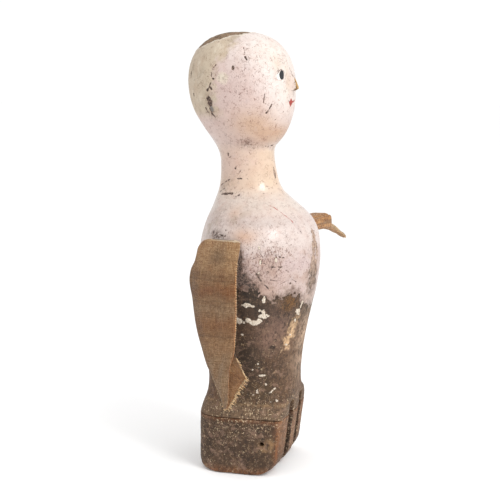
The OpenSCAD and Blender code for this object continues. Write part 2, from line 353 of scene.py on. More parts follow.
    # painted features
    colour = t.mix(t.ramp(t.attr("white"), -0.15, 0.25), colour, srgb(244, 240, 234))
    colour = t.mix(t.ramp(t.attr("line"), -0.2, 0.25, 0, 0.8), colour, srgb(92, 72, 64))
    colour = t.mix(t.ramp(t.attr("red"), -0.2, 0.2, 0, 0.97), colour,
                   t.mix(t.ramp(fine, 0.5, 0.7), srgb(158, 34, 10), srgb(88, 36, 22)))
    colour = t.mix(t.ramp(t.attr("black"), -0.15, 0.2), colour, srgb(26, 26, 28))
    gloss = t.times(holds, t.minus(1.0, marks))
    dull = t.attr("dull")
    rough = t.scaled(t.noise(150, 3), 0.16, t.ramp(gloss, 0, 1, 0.62, 0.24))
    rough = t.scaled(dull, 0.24, rough)
    height = t.scaled(net, -0.8, t.times(gloss, 1.2))
    height = t.scaled(t.noise(240, 4), 0.35, height)
    height = t.scaled(t.minus(1.0, gloss), t.times(grain, 1.6), height)
    height = t.scaled(dots, -0.5, height)
    return t.finish(Base_Color=colour, Roughness=rough, Normal=t.bump(height, 0.00022, 0.7),
                    Coat_Weight=t.times(gloss, t.ramp(dull, 0, 1, 0.35, 0.02)), Coat_Roughness=0.14,
                    Specular_IOR_Level=0.5)


def old_linen(name):
    """Coarse plain-weave linen, browned with age. The mesh's UVs are in metres along its threads."""
    t = Tree(name)
    uv = t.node("TexCoord").outputs["UV"]
    u, v = t.node("SeparateXYZ", {"Vector": uv}).outputs[:2]
    wobble = t.noise(260, 3, rough=0.5, source="UV")
    shift = t.times(t.minus(wobble, 0.5), THREAD_WANDER)
    pitch = math.pi / THREAD_PITCH
    su = t.math("SINE", t.times(t.math("ADD", u, shift), pitch))
    sv = t.math("SINE", t.times(t.minus(v, shift), pitch))
    over = t.ramp(t.times(su, sv), -0.12, 0.12)
    warp, weft = t.math("ABSOLUTE", su), t.math("ABSOLUTE", sv)
    weave = t.scaled(over, t.minus(warp, weft), weft)
    along, across = (t.ramp(t.noise(900, 3, way, 0.5, "UV"), 0.3, 0.7) for way in ((0.16, 1, 1), (1, 0.12, 1)))
    slub = t.mix(over, along, across)
    colour = t.attr("tint", True)
    colour = t.mix(t.ramp(slub, 0, 1, 0.08, 0.42), t.tinted(colour, srgb(172, 150, 132)),
                   t.tinted(colour, (1.22, 1.2, 1.16)))
    colour = t.mix(t.ramp(weave, 0.15, 0.75, 0.62, 0), colour, t.tinted(colour, srgb(92, 70, 54)))
    mottle = t.noise(130, 5, rough=0.7, source="UV")
    grit = t.noise(520, 4, rough=0.75, source="UV")
    colour = t.mix(t.ramp(mottle, 0.4, 0.7, 0, 0.35), colour, t.tinted(colour, srgb(205, 158, 118)))
    colour = t.mix(t.ramp(grit, 0.5, 0.64, 0, 0.5), colour, t.tinted(colour, srgb(176, 150, 128)))
    colour = t.mix(t.ramp(grit, 0.5, 0.36, 0, 0.45), colour, t.tinted(colour, (1.3, 1.3, 1.28)))
    smear = t.ramp(t.scaled(t.minus(mottle, 0.5), 3.0, t.attr("smear")), -0.1, 0.5)
    colour = t.mix(t.times(smear, 0.75), colour, srgb(214, 196, 170))
    height = t.scaled(slub, 0.5, weave)
    return t.finish(Base_Color=colour, Roughness=0.92, Normal=t.bump(height, 0.00035, 0.9),
                    Sheen_Weight=0.25, Sheen_Roughness=0.5, Specular_IOR_Level=0.15)


def thread_fibre(name):
    t = Tree(name)
    twist = t.noise(1500, 3, (1, 1, 0.4))
    colour = t.mix(t.ramp(twist, 0.35, 0.65), srgb(196, 146, 94), srgb(240, 214, 170))
    return t.finish(Base_Color=colour, Roughness=0.85, Normal=t.bump(twist, 0.0002, 0.8),
                    Specular_IOR_Level=0.2, Sheen_Weight=0.2)


def rusty_iron(name):
    t = Tree(name)
    rust = t.ramp(t.noise(800, 6, rough=0.7), 0.4, 0.6)
    colour = t.mix(rust, srgb(48, 44, 42), srgb(118, 66, 36))
    return t.finish(Base_Color=colour, Roughness=t.ramp(rust, 0, 1, 0.45, 0.85), Metallic=0.6,
                    Normal=t.bump(rust, 0.0002, 0.7))


def joinery_wood(name):
    t = Tree(name)
    grain = t.noise(500, 6, (1, 1, 0.08), 0.65)
    rings = t.ramp(t.noise(140, 2, (1, 1, 0.05)), 0.35, 0.65)
    colour = t.mix(t.ramp(grain, 0.3, 0.7), srgb(150, 112, 70), srgb(206, 172, 124))
    colour = t.mix(t.times(rings, 0.4), colour, srgb(128, 88, 50))
    return t.finish(Base_Color=colour, Roughness=0.6, Normal=t.bump(grain, 0.0002, 0.5))


# ---------------------------------------------------------------- what the surface wears
class Surface:
    """The fields of the painted figure's surface, at points co. Places on it are given as a bearing
    round the upright axis, 0 at the front and -90 at the figure's right, and a height in mm."""

    def __init__(self, co):
        self.co = co
        self.z = co[:, 2] / MM
        self.bearing = np.degrees(np.arctan2(co[:, 0], -co[:, 1]))
        self.r = np.hypot(co[:, 0], co[:, 1]) / MM
        self.rag = noise(co, 5, 3, 3)
        self.fine = noise(co, 2.2, 4, 2)
        self.wide = noise(co, 34, 5, 2)
        self.mid = noise(co, 13, 6, 3)

    def away(self, bearing, z):
        turn = (self.bearing - bearing + 180) % 360 - 180
        return np.radians(turn) * self.r, self.z - z

    def blob(self, bearing, z, half_w, half_h, turn=0.0, ragged=0.25):
        du, dv = self.away(bearing, z)
        c, s = math.cos(math.radians(turn)), math.sin(math.radians(turn))
        d = np.hypot((du * c + dv * s) / half_w, (dv * c - du * s) / half_h)
        size = min(half_w, half_h)
        return (1 - d) * size + ragged * size * self.fine

    def line(self, places, width, ragged=0.3):
        best = np.full(len(self.z), 1e9)
        for (b0, z0), (b1, z1) in zip(places, places[1:]):
            ax, ay = self.away(b0, z0)
            bx, by = ax - np.radians(b1 - b0) * self.r, ay - (z1 - z0)
            ex, ey = ax - bx, ay - by
            t = np.clip((ax * ex + ay * ey) / np.maximum(ex * ex + ey * ey, 1e-9), 0, 1)
            best = np.minimum(best, np.hypot(ax - t * ex, ay - t * ey))
        return width / 2 - best + ragged * width * self.fine

    def soft(self, bearing, z, half_w, half_h):
        du, dv = self.away(bearing, z)
        return np.exp(-((du / half_w) ** 2 + (dv / half_h) ** 2))

    def shapes(self, blobs=(), lines=()):
        """The nearest of many shapes. A blob is given as blob takes it, and a line as its width, its
        raggedness, and then the bearing and height of each of its places."""
        return most(*(self.blob(*b) for b in blobs),
                    *(self.line(list(zip(l[2::2], l[3::2])), *l[:2]) for l in lines))

    def spots(self, *spots):
        """The sum of soft spots, each given as its strength, bearing, height, half width and half height."""
        return sum(strength * self.soft(*where) for strength, *where in spots)

    def round_body(self, table):
        """A height that changes round the body, from a table of bearings and heights."""
        return np.interp(self.bearing, *np.array(table, float).T)


def most(*values):
    return np.maximum.reduce(values)


# height at which the paint stops, round the body
PAINT_ENDS = ((-180, 168), (-150, 173), (-120, 178), (-88, 175), (-79, 172), (-70, 171), (-64, 166),
              (-56, 164), (-48, 162), (-40, 166), (-29, 160), (-22, 156), (-10, 152), (8, 158),
              (25, 167), (45, 161), (70, 172), (95, 166), (120, 174), (150, 162), (180, 168))

# height above which the crown is worn to the wood
CROWN_WORN = ((-180, 382), (-154, 385.5), (-138, 391), (-125, 394.5), (-105, 397.3), (-88, 399.6), (-60, 403),
              (80, 403), (100, 399), (130, 394), (150, 388), (180, 382))
PAINT_SHADE = np.array([0.745, 0.735, 0.72])
WOOD_SHADE = np.array([0.87, 0.715, 0.52])


def dress(s, is_hip=False):
    """All fields of the surface s: colours, signed fields in mm, and how far it stands out in mm."""
    z, n = s.z, len(s.z)
    ends = s.round_body(PAINT_ENDS)
    paint = 0.62 * (z - ends) + 2.2 * s.mid + 3.2 * s.rag + 1.9 * s.fine + 3.0 * s.rag * s.soft(-74, 172, 18, 9)
    loss = s.shapes(
        blobs=((-6, 205, 2.5, 10, 6, 0.5), (-40, 158, 6.5, 6.5), (-11.5, 272, 1.7, 4.6), (150, 212, 6, 9),
               (74, 196, 4, 7, 20), (-168, 205, 4.5, 12), (112, 186, 6, 9), (16, 186, 2.6, 5)),
        lines=((3.2, 0.3, 38, 236, 47, 222, 52, 205, 49, 190), (2.4, 0.3, 168, 226, 160, 214, 163, 196)))
    loss = most(loss, s.blob(-11, 184, 7, 15, 4, 0.3) + 1.6 * s.rag,
                s.line([(-9, 219), (-12, 208), (-14, 197), (-16, 188), (-15, 180), (-13, 172)], 7, 0.35)
                + 1.4 * s.rag)
    # the crown is worn to the wood towards the back
    worn_from = s.round_body(CROWN_WORN)
    bald = 1.6 * (z - worn_from) + 1.6 * s.mid * (np.abs(s.bearing + 120) > 30) + 1.8 * s.rag + 1.0 * s.fine
    bald = np.minimum(bald, 5 * (0.95 - noise(s.co, 8, 43, 3)))
    loss = most(s.shapes(blobs=((96, 391, 4, 3), (128, 372, 2.5, 4), (171, 330, 3, 5))), loss, bald)
    paint = np.minimum(paint, -loss)
    if is_hip:
        paint = np.full(n, ABSENT)
    # dark cuts and chips that go through the paint, and painted shadows: the gap beside the right sleeve's
    # front edge and the crease under the jaw
    mark = s.shapes(
        blobs=((-121, 356.8, 1.3, 0.8), (-124, 348.8, 1.5, 1.6, 0, 0.6), (-127.6, 337.5, 2.7, 5, 8, 0.35),
               (-154, 361, 1.1, 3.2), (-150, 343, 0.9, 2), (-100, 366, 1.3, 2.3), (-58.5, 327, 1.3, 1, 30),
               (-61, 349, 0.7, 0.6), (-110, 357, 0.7, 1.1), (-134, 290, 1, 1.8), (-131, 287, 1.5, 1.1, 30, 0.6),
               (-119, 277, 0.8, 0.9), (-92, 268, 0.6, 0.6), (-15, 263, 0.6, 0.8), (-62, 200, 0.8, 0.7, 0, 0.5),
               # painted shadow: the narrow blob at bearing -86.2, height 201.5 is the gap behind the right
               # sleeve's front edge
               (-86.2, 201.5, 1.1, 7.5, 0, 0.3), (-42, 177, 1.15, 1.05, 0, 0.1), (126, 330, 1.4, 3.2),
               (58, 184, 1.1, 1)),
        lines=((1.1, 0.4, -119.5, 369, -123, 365), (1.5, 0.4, -124, 362.5, -123, 359),
               (1.5, 0.5, -124, 353.5, -126, 349.5, -129, 346.3),
               (1.7, 0.4, -129, 331, -127.8, 326, -125.5, 323.5), (0.7, 0.5, -135.5, 332, -132, 327),
               (1, 0.6, -134, 331, -133, 325), (0.8, 0.3, -91, 384, -88, 379), (1.5, 0.3, -87, 376, -85, 373.5),
               (1, 0.3, -62, 344, -62.6, 340, -63.5, 336), (1.2, 0.3, -52, 334.5, -55.5, 330, -59, 326.5),
               (0.5, 0.3, -45, 320, -40, 322), (0.8, 0.5, -114, 268, -104, 268),
               (0.7, 0.5, -111, 273, -107, 275.5), (0.9, 0.5, -156, 261, -146, 263.5, -131, 267),
               (1.7, 0.4, -143, 253.2, -131, 254.2, -119, 254), (1.3, 0.6, -113, 251.5, -105, 253.5),
               (1, 0.6, -152, 255.5, -142, 258.5), (0.7, 0.5, -61, 207, -57, 203, -50, 201),
               (0.7, 0.6, -67, 197, -62, 193.4, -56, 192.6, -51, 193),
               (0.6, 0.7, -61, 181.5, -55, 180, -51, 181), (1.1, 0.5, -73, 187, -69, 180),
               (0.9, 0.6, -66, 177, -62, 173), (0.6, 0.3, -48, 190, -44, 187), (0.7, 0.5, -71, 207, -68, 202),
               (0.8, 0.6, -77, 200, -72, 203), (0.8, 0.6, -59, 172, -57, 168), (0.7, 0.5, -41, 181, -36, 178),
               (1.2, 0.7, -78, 176, -71, 172), (0.9, 0.4, -56, 186, -58, 183), (0.8, 0.5, -64, 188, -66, 184),
               (0.8, 0.5, -80, 209, -76, 206), (0.6, 0.3, -57, 188, -53, 192), (0.7, 0.3, -50, 178, -45, 180),
               (0.6, 0.3, -77, 191, -71, 186), (0.5, 0.3, -30, 224, -29, 221),
               (1, 0.5, 62, 343, 66, 336, 66, 330), (1.3, 0.6, 104, 356, 107, 349),
               (0.8, 0.5, 84, 318, 92, 314), (1.1, 0.5, 140, 262, 156, 259), (0.8, 0.5, 70, 258, 86, 260),
               (0.7, 0.5, 28, 228, 36, 216, 35, 205), (1, 0.5, 178, 300, 172, 288),
               (0.9, 0.5, 128, 228, 136, 219)))
    groove = s.line([(-95, 299), (-80, 297.6), (-60, 297), (-40, 296.8), (-16, 297.4), (12, 297.2), (40, 297),
                     (80, 298)], 0, 0)
    # painted shade: thin dark lines along the crease under the jaw, over the groove
    mark = most(mark, s.line([(-48, 296.8), (-36, 296.6), (-14, 297.4)], 0.8, 1.0) - 0.1,
                s.line([(20, 297), (46, 297)], 0.7, 1.0) - 0.1)
    # small chips crowd where the paint is dry: under the jaw, over the shoulders, beside the sleeves
    crowd = s.spots(
        (1.2, -90, 300.5, 9, 5), (1.15, -116, 221, 12, 6), (1.2, -86, 188, 6, 14), (0.7, -70, 178, 16, 7),
        (0.55, -66, 196, 26, 22), (0.5, -125, 360, 5, 9), (0.45, -130, 330, 6, 12), (0.5, -140, 256, 12, 10),
        (0.7, 100, 300, 9, 6), (0.7, 120, 222, 14, 6), (0.6, 60, 192, 26, 20), (0.5, 160, 352, 12, 16),
        (0.35, -30, 185, 16, 16), (0.4, 178, 210, 30, 24), (0.8, -102, 221, 9, 4))
    beside = s.spots((1.15, -91, 191, 6.5, 15), (0.9, -82, 178, 9, 7), (0.5, 92, 188, 8, 14))
    dry = noise(s.co, 3.4, 8, 3, (1, 1, 0.7)) - 1.28
    dry += 0.62 * np.clip(crowd, 0, 1.25) + 0.85 * np.clip(beside, 0, 1)
    mark = most(mark, np.where(crowd > 0.05, dry * 1.6, ABSENT))
    # chalk ground left on the wood, and small white chips in the paint
    white_chip = s.shapes(
        blobs=((-71, 211, 1.1, 2.2), (-70, 198, 1, 3), (-71, 188, 0.9, 1.4), (-57, 199, 1.1, 2.6),
               (-70, 206, 0.6, 1)))
    chalk = s.shapes(
        blobs=((-83, 158, 4.4, 2.1, 0, 0.4), (-77, 157, 2.8, 1.2), (-92, 143, 6, 2.6, -15, 0.3),
               (-66.5, 147.5, 4.2, 2.4, 8, 0.45), (-66, 151.5, 1.7, 2.2, 0, 0.5), (-66, 163, 1.8, 3),
               (-62, 166.5, 1.4, 2), (-61, 148, 1.6, 1.1), (-27, 149, 3.6, 3.2, 0, 0.35), (-23, 158, 1.8, 3.2),
               (-24, 153, 1.1, 1.6), (-70, 153, 1.3, 1), (-29, 142, 1, 1.4, 0, 0.8),
               (-34, 128, 1.6, 0.8, -20, 0.6), (-37.5, 119, 1.2, 0.8), (-88, 130, 1.2, 0.8),
               (-66, 92, 3, 0.9, 0, 0.4), (-71, 103, 1, 1.4, 0, 0.6), (-52, 70, 1.5, 1, 0, 0.7),
               (-62, 84, 0.9, 0.9, 0, 0.7), (22, 149, 2.5, 5, 10, 0.6), (58, 151, 7, 2.2, 10, 0.7),
               (104, 156, 6, 2.6, -12, 0.7), (-74, 191, 0.6, 2.2)),
        lines=((4.2, 0.35, -81, 144, -77, 141.8, -72, 142, -70, 144), (0.9, 0.6, -80, 96, -73, 99, -69, 99.5),
               (0.9, 0.9, -58, 76, -50, 80)))
    under = ease(z, 128, 150) * (1 - ease(z, 164, 176))
    under *= np.where((s.bearing > 0) | (s.bearing < -105), 1, 0.55)
    flaked = 0.42 * ease(z, 58, 63) * (1 - ease(z, 78, 90)) + 0.2 * (z < 60)
    flaked += s.spots((0.75, -76, 164, 15, 7), (0.35, -70, 98, 14, 9), (0.35, -55, 76, 12, 7))
    chalk = most(chalk, white_chip, 5 * (noise(s.co, 9, 41, 4, (1, 1, 0.8)) - 1.5 + 0.75 * under),
                 2.4 * (noise(s.co, 4, 42, 3, (1.5, 1.5, 0.7)) - 1.45 + flaked))
    core = s.blob(-126.6, 330.4, 1.7, 2.4)
    mark = np.minimum(mark, -core)
    paint = np.minimum(paint, -white_chip * 1.5)

    # paint colour: pinkish white in front, pinker at the side, yellow-grey behind, flesh below
    side = np.abs(s.bearing)
    low = ease(z, 125, 150) * ease(-z, -196, -172)
    behind = ease(side + 5 * s.rag + 3 * s.fine + 14 * ease(z, 366, 386), 113, 127) * ease(z, 318, 330)
    cloud, grit = noise(s.co, 6, 44, 4), noise(s.co, 2.6, 45, 3)
    tint = coat(
        srgb(232, 211, 205),
        ((248, 238, 233), ease(-side, -84, -38) * ease(z, 300, 345) + s.soft(-60, 385, 60, 24)),
        ((222, 198, 192), s.spots((0.9, -108, 345, 22, 30), (0.8, 112, 340, 22, 30))),
        ((218, 201, 178), behind),
        ((190, 178, 158), behind * ease(s.mid, 0.1, 0.8) * 0.5),
        ((218, 184, 158), s.spots((0.95, -77, 317, 22, 14), (0.9, -25, 306, 24, 9), (0.8, 60, 312, 30, 12),
                                  (0.35, -16, 352, 8, 22), (0.2, -45, 378, 12, 8))),
        ((238, 224, 214), ease(-z, -302, -290) * ease(z, 226, 246)),
        ((240, 214, 188), ease(-z, -302, -290) * ease(z, 246, 266)),
        ((226, 198, 186), s.spots((0.8, -130, 285, 22, 26), (0.6, 140, 285, 26, 26))),
        ((235, 220, 214), ease(-z, -240, -224)),
        ((222, 202, 198), 0.8 * ease(-z, -214, -196)),
        ((226, 190, 166), s.spots((0.9, -84, 220, 12, 7), (0.6, -98, 238, 6, 7), (0.4, 70, 222, 16, 8))),
        ((238, 226, 208), 1.2 * s.soft(-111, 357.5, 6, 5.5) * (s.blob(-111, 357.5, 6, 5.5) > 0)),
        ((214, 202, 196), 0.5 * s.soft(-60, 231, 34, 4)),
        ((205, 180, 164), 0.35 * ease(s.wide, 0.2, 0.9)),
        ((202, 172, 158), 0.75 * ease(-z, -214, -200) * ease(s.mid + 0.4 * s.rag, -0.6, 0.5)),
        ((214, 188, 186), 0.5 * ease(-z, -214, -200) * ease(-s.mid, 0.1, 0.8)),
        ((228, 204, 178), s.spots((0.5, -42, 370, 6, 8), (0.45, -24, 356, 4, 14), (0.4, 40, 372, 9, 9))),
        ((250, 240, 232), s.spots((0.6, -38, 382, 22, 12), (0.5, -30, 345, 7, 8))),
        ((244, 236, 222), 0.9 * np.exp(-((bald + 1.6) / 1.2) ** 2)),
        ((196, 178, 160), 0.7 * s.soft(-129, 226, 14, 10) * ease(s.rag, -0.4, 0.4)
         + 0.6 * s.soft(-96, 236, 14, 7) * ease(s.rag, -0.2, 0.5)),
        ((186, 160, 140), 0.5 * ease(-paint, -10, -1) * low),
        ((134, 110, 92), 0.8 * ease(-paint, -5, -0.5) * low * ease(s.fine + 0.8 * s.rag, -0.9, 0.9)),
        ((198, 166, 150), 0.55 * s.soft(-66, 180, 24, 14)),
        ((102, 68, 50), 0.9 * beside * ease(s.fine + s.rag, -1.2, 0.8)),
        ((150, 150, 146), ease(core, -0.4, 0.2)),
        # colours wander a little from place to place, most behind
        ((236, 224, 204), behind * (0.75 * ease(cloud, 0.15, 0.9) + 0.4 * ease(grit, 0.5, 1.2))),
        ((176, 156, 132), behind * (0.45 * ease(-cloud, 0.3, 1.1) + 0.3 * ease(-grit, 0.5, 1.3))),
        ((236, 206, 196), 0.4 * ease(cloud, 0.4, 1.1) * (1 - behind)),
        ((206, 186, 184), 0.35 * ease(-cloud, 0.4, 1.1) * (1 - behind))) * PAINT_SHADE

    # how dirty, with painted shade in the crease under the jaw, and how speckled
    grime = (s.spots((1.6, -113, 219.5, 8, 3.4), (1.6, -88, 190, 4.5, 13), (0.9, -82, 178, 7, 7),
        (0.35, -124, 236, 13, 12), (0.3, -95, 231, 12, 5), (0.8, -85, 189, 5, 12), (0.6, -76, 177, 12, 6),
        # painted shade: the thin wide spot at bearing -40, height 296 darkens the crease under the jaw
        (0.35, -140, 262, 10, 8), (0.5, -128, 334, 5, 12), (0.3, -91, 300, 8, 5), (0.3, -40, 296, 16, 1.2),
        (0.55, 104, 222, 14, 6), (0.5, 86, 186, 10, 12), (0.5, 168, 240, 16, 10), (0.45, -172, 300, 10, 12))
        + 0.7 * ease(-paint, -6, -1) * low)
    grime = np.clip(grime + 0.12 * ease(s.mid, 0.3, 1.0), 0, 1)
    speck = 0.46 + 0.3 * s.wide + s.spots(
        (0.35, -95, 352, 34, 36), (0.85, -66, 196, 36, 26), (0.8, -91, 300, 9, 5), (0.5, 100, 350, 34, 36),
        (0.4, 60, 200, 40, 30), (-0.35, -20, 360, 26, 40))
    speck += 0.45 * ease(-z, -84, -66) - 0.5 * ease(-z, -300, -285) * ease(z, 250, 262) * (side < 110)

    # bare wood, with painted shade deep inside the leg slots
    streak = s.line([(-26, 146), (-30, 136), (-34, 127), (-37, 119)], 9, 0.4)
    veil = s.spots((0.95, 0, 148, 19, 28), (0.7, 2, 112, 20, 30))
    inside = (np.abs(np.abs(s.co[:, 0] / MM) - 16.5) < 7.6) & (s.co[:, 1] / MM < -0.5) & (z < 66)
    depth = s.co[:, 1] / MM + np.interp(z, [0, 52, 64, 80], [36, 40, 41, 42])
    ground = coat(
        srgb(112, 90, 74),
        ((92, 76, 58), ease(s.wide + 0.6 * s.mid, -0.1, 0.6)),
        ((150, 128, 128), s.spots((0.85, -49, 141, 15, 20), (0.6, -66, 122, 15, 12), (0.5, 50, 130, 20, 25))),
        ((160, 122, 74), s.spots((1.5, -40, 158, 8, 7), (0.6, 100, 168, 12, 10))),
        ((70, 52, 36), s.spots((0.95, -84, 118, 12, 18), (0.8, -66, 96, 26, 14), (0.5, 80, 118, 16, 16))),
        ((212, 201, 208), 1.2 * ease(loss, -0.5, 0.5) * ease(z, 166, 176) * (z < 255)
            + 0.9 * ease(loss, -0.5, 0.5) * (z > 262) * (z < 285)),
        ((168, 154, 142), 0.9 * ease(bald, -1, 1)),
        ((118, 104, 92), 0.7 * ease(bald, -1, 1) * ease(s.rag, 0, 0.6)),
        ((236, 214, 190), ease(streak + 1.8 * s.rag, -1.8, 2.4)),
        ((146, 126, 108), 0.8 * s.soft(-76, 166, 15, 5) * ease(s.fine + s.rag, -0.3, 0.9)),
        ((176, 154, 132), 0.9 * s.soft(-72, 164, 20, 5) * ease(s.fine + s.rag, -0.2, 0.8)),
        ((64, 54, 46), s.spots((0.7, -86, 108, 14, 16), (0.6, -70, 155, 8, 6), (0.6, 84, 165, 14, 9),
            (0.5, -160, 130, 22, 20))),
        ((226, 212, 208), veil * ease(s.rag + 0.6 * s.fine, -1.5, 0.6)),
        ((40, 28, 20), s.spots((1.2, -55.5, 118, 2.2, 1.6), (0.8, -52.5, 117, 1.2, 2.4))),
        ((44, 42, 38), 0.9 * s.soft(-81, 161, 4.5, 3.5) * ease(s.rag, -0.6, 0.2)
            + 0.9 * s.soft(-71, 167, 5, 4) * ease(s.fine, -0.6, 0.3)),
        ((128, 112, 100), 0.8 * ease(-z, -70, -60)),
        # painted shade: the leg slots darken with depth inside them
        ((88, 60, 44), 0.9 * inside * ease(depth, 0.5, 5)))
    if is_hip:
        front = ease(-s.co[:, 1] / MM, 33, 36) * ~inside
        ground = coat(
            ground,
            ((68, 50, 34), 0.7 + 0.3 * ease(s.mid, -0.3, 0.5)),
            ((142, 98, 66), s.spots((1.1, -53.5, 28, 3.2, 26), (0.9, 53.5, 28, 2.6, 24))
                + 0.75 * ease(-z, -10, -1) + 0.5 * ease(z, 47, 51)),
            ((72, 56, 44), s.spots((0.6, -95, 26, 22, 12), (0.6, 60, 30, 20, 12))),
            ((158, 120, 92), 0.75 * front),
            ((176, 150, 120), 0.95 * s.soft(-62, 30, 5.5, 5.5) * ease(s.rag, -0.7, 0.2)
                + 0.6 * s.soft(-70, 22, 8, 5) * ease(s.rag, 0, 0.5)))
    rim = np.exp(-((z - HIP_SEAM - 0.8 * s.mid) / 1.1) ** 2) * (np.abs(s.co[:, 0]) > 0.03)
    ground = coat(ground, ((176, 154, 130), 0.55 * rim * ease(s.rag, -0.8, 0.1))) * WOOD_SHADE
    # features of the face
    black = s.shapes(blobs=((-35.4, 360, 3.1, 4.1, -10, 0.16), (21.5, 360, 3.3, 4.3, 0, 0.06)))
    white = s.shapes(blobs=((-39, 359.4, 3.9, 3, 0, 0.15), (25, 359.4, 3.9, 3, 0, 0.15)))
    line = s.shapes(
        lines=((0.8, 0.25, -43.5, 360.5, -40, 364, -35.5, 365.3, -30.5, 363.5),
               (0.8, 0.25, 29.5, 360.5, 26, 364, 21.5, 365.3, 16.5, 363.5, 13, 359.5),
               (0.35, 0.6, -41, 370, -35, 372.5, -29, 371), (0.35, 0.6, 27, 370, 21, 372.5, 15, 371),
               (0.7, 0.3, -11.5, 365, -9.5, 361, -9.5, 357.5), (1.1, 0.3, -21.5, 337.6, -17.5, 336.8),
               (0.6, 0.5, -30.5, 364.5, -28.5, 361, -29, 356), (0.5, 0.6, -46, 362, -41, 365),
               (0.6, 0.6, -14, 367, -12.5, 363, -12, 359), (1, 0.3, -15, 346.5, -10, 347.4),
               (0.5, 0.3, -12, 336.3, -5, 336.8, 2, 338)))
    du, dv = s.away(-13.5, 336)
    red = most(2.0 - (np.abs(du) / 4.2 + np.abs(dv) / 3.9) * 2.0 + 0.2 * s.fine,
               s.line([(-13.4, 336.4), (-5, 336.8), (1, 338)], 1.6, 0.25),
               s.line([(-54, 245), (-49, 243.3), (-44.5, 240.3), (-40, 236), (-36, 232), (-34.5, 226)],
                      0.55, 0.35))
    if is_hip:
        white = line = red = black = np.full(n, ABSENT)
    # relief: recessed losses, cuts and painted shadow marks, raised chalk, carver's unevenness, dents in the
    # bare wood
    bare = ease(-paint, -0.4, 0.6)
    push = -0.3 * bare + 0.42 * ease(chalk, -0.3, 0.9) * bare - 0.45 * ease(mark, -0.5, 0.5)
    push += 0.16 * s.mid * (1 - bare) * 0.5 + bare * (0.13 * s.rag + 0.1 * s.fine) + 0.05 * s.rag
    push += 0.3 * np.exp(-((bald + 1.6) / 1.1) ** 2) - 0.35 * np.exp(-(groove / 0.9) ** 2)
    return {"fields": {"paint": paint, "chalk": chalk, "mark": mark, "grime": grime, "speck": speck,
                       "dull": ease(z, 296, 318) + 0.45 * ease(-z, -246, -232),
                       "white": white, "line": line, "red": red, "black": black},
            "colours": {"tint": tint, "ground": ground}, "push": push}


def stand(name, co, quads, normals, look, keep, material, body, replaced):
    """Makes a piece of the quads that keep is true for, closes its open rims, and puts it on its body."""
    mine = quads[keep]
    used, index = np.unique(mine, return_inverse=True)
    mine = index.reshape(-1, 4)
    faces = mine.tolist() + rims(mine)
    ob = piece(name, co[used], faces, normals[used], {k: v[used] for k, v in look["fields"].items()},
               {k: v[used] for k, v in look["colours"].items()}, material=material)
    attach(ob, body)
    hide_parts(*replaced)
    return ob


def clamp(co):
    return np.clip(co, LOW, HIGH)


# ---------------------------------------------------------------- head and torso
skin, quads = voxel_skin(["head", "nose", "torso"], 0.9)
z = skin[:, 2] / MM
# the carved facets are smoothed away, but not the nose, nor the ledge over the hip block
nose_low, nose_high = (np.array(c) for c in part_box("nose"))
nose_mid = np.array([(nose_low[0] + nose_high[0]) / 2, nose_low[1], (nose_low[2] + nose_high[2]) / 2])
to_nose = np.abs(skin - nose_mid) / np.array([9, 16, 13]) / MM
by_nose = 1 - ease(to_nose.max(1), 0.75, 1.05)
skin = relax(skin, quads, 70, ease(z, 66, 80) * (1 - by_nose))
skin = relax(skin, quads, 7, np.ones(len(z)) * (1 - 0.4 * by_nose))
surface = Surface(skin)
look = dress(surface)
normals = vertex_normals(skin, quads)
skin = clamp(skin + normals * (look["push"] * MM)[:, None] * (1 - 0.7 * by_nose)[:, None])
normals = vertex_normals(skin, quads)
body_tree = BVHTree.FromPolygons(skin.tolist(), quads.tolist())

# the nose is worn through to the wood along its ridge
ridge = 2.3 - np.abs(skin[:, 0] - nose_mid[0] + 0.0009) / MM
on_nose = (to_nose.max(1) < 1.0) & (skin[:, 1] < nose_low[1] + 0.0075)
ridge = np.where(on_nose & (skin[:, 1] < nose_low[1] + 0.0042), ridge + 0.5 * surface.fine, ABSENT)
look["fields"]["paint"] = np.minimum(look["fields"]["paint"], -ridge)
look["colours"]["ground"] = coat(look["colours"]["ground"], ((206, 166, 112), ease(ridge, -0.6, 0.6)))

middle = skin[quads].mean(1)
off = (middle - nose_mid) / MM
wedge = (np.abs(off[:, 0] + 0.6) < 5.2) & (np.abs(off[:, 2]) < 10.5) & (off[:, 1] < 7.2)
is_head = middle[:, 2] > HEAD_FROM
paint_mat, worn_mat = old_paint("painted_gesso"), old_paint("worn_gesso")
stand("head_skin", skin, quads, normals, look, is_head & ~wedge, paint_mat, "figure", ["head"])
stand("nose_skin", skin, quads, normals, look, is_head & wedge, paint_mat, "figure", ["nose"])
stand("torso_skin", skin, quads, normals, look, ~is_head, worn_mat, "figure", ["torso"])

# ---------------------------------------------------------------- hip block
block, block_quads = voxel_skin(["hip_block"], 0.8)
block = relax(block, block_quads, 9, np.ones(len(block)))
hip_look = dress(Surface(block), True)
out = vertex_normals(block, block_quads)
calm = np.clip((TOP_OF_BLOCK - block[:, 2] / MM) / 2, 0, 1)
block = clamp(block + out * (hip_look["push"] * MM * calm)[:, None])
hip_mat = old_paint("bare_wood")
stand("hip_block_wood", block, block_quads, vertex_normals(block, block_quads), hip_look,
      np.ones(len(block_quads), bool), hip_mat, "figure", ["hip_block"])

# ---------------------------------------------------------------- sleeves
HINGE = np.array([64.5, 10.0, 209.0])      # middle of a sleeve's fold line, in mm; x is + or - by side
CLOTH = 0.9                                # thickness of the linen, in mm
BAND_ABOVE = 8                             # how far the nailed band reaches above the fold, in mm
BAND_TOP = 217                             # highest the band lies on the shoulder, in mm
TORN_FROM = 93                             # the right sleeve's front edge is torn open from here down, in mm
RIGHT_CUT, LEFT_CUT = 49, 42               # where each sleeve's cloth ends and its cuff starts, in mm
FRAY, FINE_FRAY, STITCH = 0.23, 0.15, 0.24  # radii of threads, in mm
LINEN_SHADE = np.array([0.97, 1.03, 1.02])


